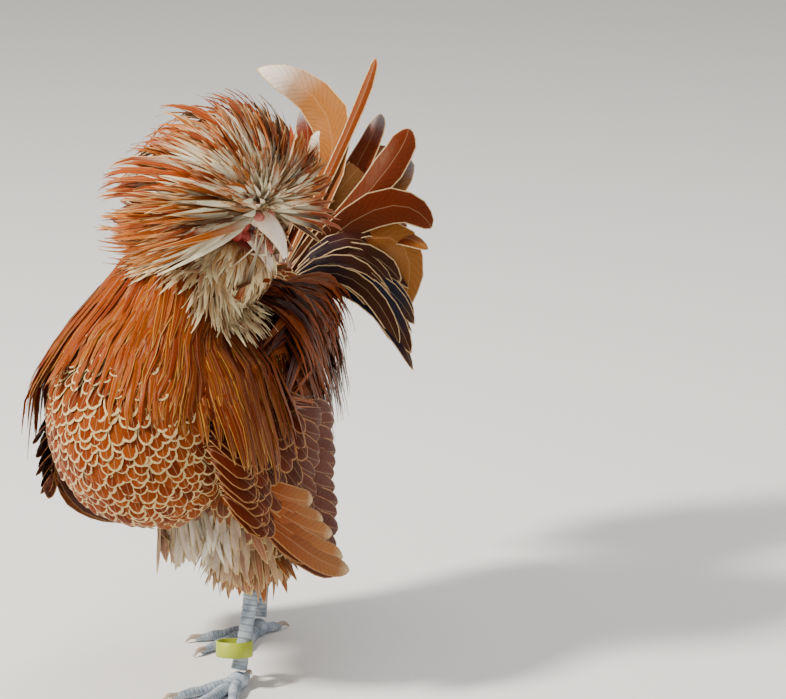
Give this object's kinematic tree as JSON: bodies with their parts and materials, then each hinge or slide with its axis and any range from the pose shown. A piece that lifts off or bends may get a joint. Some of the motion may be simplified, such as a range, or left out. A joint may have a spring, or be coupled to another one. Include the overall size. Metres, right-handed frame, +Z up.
{
  "type": "polish crested cock",
  "caption": "Still life-size bearded Polish cock with a raised crest, laced plumage, dropped wings, open bill and a loose band on one leg.",
  "frame": {"origin": "centre of the model's box at the floor that the soles stand on", "axes": "+Z up; the body faces -Y; +X is the bird's left side"},
  "size_m": [0.204, 0.385, 0.4447],
  "materials": {
    "laced_plumage": "red feathers with a pale edge",
    "hackle_plumage": "glossy orange feathers",
    "flight_plumage": "smooth buff and red-brown feathers",
    "crest_plumage": "soft cream feathers with orange ends",
    "face_skin": "bare red skin",
    "bill_horn": "satin horn",
    "leg_scales": "slate-blue scales",
    "eye": "wet gloss",
    "tongue": "moist",
    "band_plastic": "satin plastic"
  },
  "bodies": {
    "root": {"torso": "laced_plumage", "neck": "hackle_plumage", "head": "face_skin", "crest": "crest_plumage", "beard": "crest_plumage", "comb": "face_skin", "bill_upper": "bill_horn", "bill_lower": "bill_horn", "tongue": "tongue", "eye_left": "eye", "eye_right": "eye", "wing_left": "flight_plumage", "wing_right": "flight_plumage", "tail": "flight_plumage", "thigh_left": "laced_plumage", "thigh_right": "laced_plumage", "shank_left": "leg_scales", "shank_right": "leg_scales", "foot_left": "leg_scales", "foot_right": "leg_scales", "leg_band": "band_plastic"}
  },
  "joints": []
}
